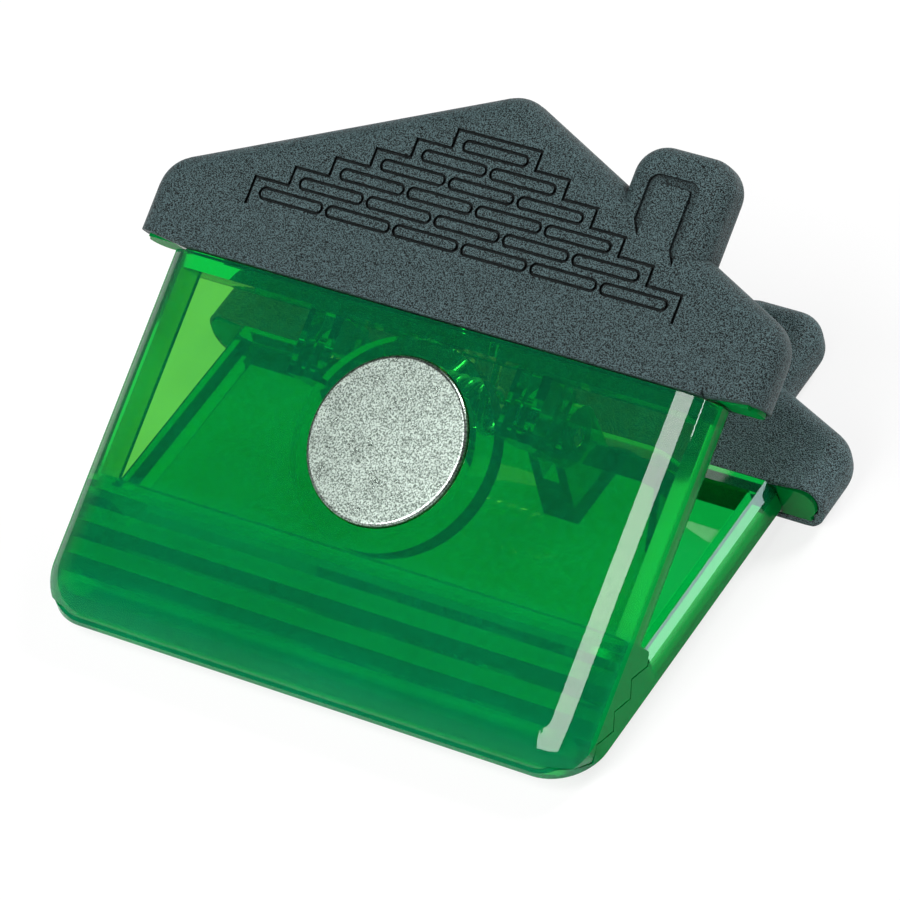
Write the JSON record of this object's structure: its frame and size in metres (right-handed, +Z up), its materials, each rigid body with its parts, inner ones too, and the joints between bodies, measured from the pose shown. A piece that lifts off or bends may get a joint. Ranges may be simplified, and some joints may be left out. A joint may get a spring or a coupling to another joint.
{
  "type": "magnetic memo clip",
  "caption": "House-shaped clip with translucent toothed jaws on a sprung hinge, roof-shaped handles to squeeze and a disc magnet that holds it to steel.",
  "frame": {"origin": "on the front jaw's outer face, opposite the middle of the magnet", "axes": "+X to the chimney side, +Y from the teeth to the ridge along the front jaw, +Z up from the front jaw to the magnet jaw"},
  "size_m": [0.0754, 0.065, 0.0349],
  "materials": {
    "jaw_plastic": "translucent green, polished",
    "grip_plastic": "fine moulded grain",
    "magnet_plate": "grainy nickel plate",
    "steel": "plain wire"
  },
  "bodies": {
    "front_half": {"front_jaw": "jaw_plastic", "front_grip": "grip_plastic", "pivot_pin": "steel", "torsion_spring": "steel"},
    "rear_half": {"rear_jaw": "jaw_plastic", "rear_grip": "grip_plastic", "magnet_disc": "magnet_plate"}
  },
  "joints": [
    {"name": "jaw_hinge", "type": "hinge", "parent": "front_half", "child": "rear_half", "pos_m": [0, 0.0075, 0.01081], "axis": [-1, 0, 0], "range_deg": [0, 46], "stiffness_Nm_per_rad": 0.2, "springref_deg": -20.05, "deforming": ["torsion_spring"]}
  ]
}
